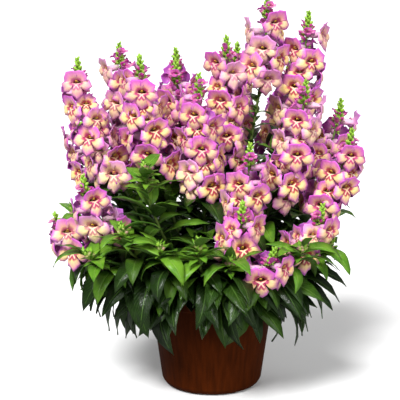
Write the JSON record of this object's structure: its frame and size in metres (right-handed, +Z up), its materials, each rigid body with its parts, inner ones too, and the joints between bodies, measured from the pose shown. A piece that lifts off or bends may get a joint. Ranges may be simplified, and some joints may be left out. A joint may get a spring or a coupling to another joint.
{
  "type": "potted snapdragon plant",
  "caption": "Snapdragon plant with tall spikes of pink and yellow blooms over leafy green shoots, in a round tapered plastic pot filled with soil.",
  "frame": {"origin": "middle of the pot's foot, on the surface it stands on", "axes": "+Z up along the pot's axis, -Y towards the plant's front"},
  "size_m": [0.4016, 0.3716, 0.508],
  "materials": {
    "pot_plastic": "matt, reddish brown",
    "potting_soil": null,
    "stem_and_leaf": null,
    "young_leaf": null,
    "petal": null
  },
  "bodies": {
    "root": {"blooms_back_centre_left": "petal", "blooms_back_centre_right": "petal", "blooms_back_left": "petal", "blooms_back_right": "petal", "blooms_centre_front": "petal", "blooms_centre_left": "petal", "blooms_centre_low": "petal", "blooms_centre_tall": "petal", "blooms_front_low": "petal", "blooms_front_middle": "petal", "blooms_left_back_outer": "petal", "blooms_left_low": "petal", "blooms_left_middle": "petal", "blooms_left_rear": "petal", "blooms_left_tall": "petal", "blooms_left_trailing": "petal", "blooms_right_low": "petal", "blooms_right_middle": "petal", "blooms_right_outer": "petal", "blooms_right_rear": "petal", "blooms_right_tall": "petal", "blooms_tallest": "petal", "pot": "pot_plastic", "shoot_back_left": "young_leaf", "shoot_back_mid_right": "young_leaf", "shoot_back_middle": "young_leaf", "shoot_back_right": "young_leaf", "shoot_front_centre": "young_leaf", "shoot_front_left": "young_leaf", "shoot_front_mid_left": "young_leaf", "shoot_front_mid_right": "young_leaf", "shoot_front_right": "young_leaf", "shoot_inner_left": "young_leaf", "shoot_left": "young_leaf", "shoot_left_side": "young_leaf", "shoot_right": "young_leaf", "shoot_right_side": "young_leaf", "soil": "potting_soil", "stem_back_centre_left": "stem_and_leaf", "stem_back_centre_right": "stem_and_leaf", "stem_back_left": "stem_and_leaf", "stem_back_right": "stem_and_leaf", "stem_centre_front": "stem_and_leaf", "stem_centre_left": "stem_and_leaf", "stem_centre_low": "stem_and_leaf", "stem_centre_tall": "stem_and_leaf", "stem_front_low": "stem_and_leaf", "stem_front_middle": "stem_and_leaf", "stem_left_back_outer": "stem_and_leaf", "stem_left_low": "stem_and_leaf", "stem_left_middle": "stem_and_leaf", "stem_left_rear": "stem_and_leaf", "stem_left_tall": "stem_and_leaf", "stem_left_trailing": "stem_and_leaf", "stem_right_low": "stem_and_leaf", "stem_right_middle": "stem_and_leaf", "stem_right_outer": "stem_and_leaf", "stem_right_rear": "stem_and_leaf", "stem_right_tall": "stem_and_leaf", "stem_tallest": "stem_and_leaf"}
  },
  "joints": []
}
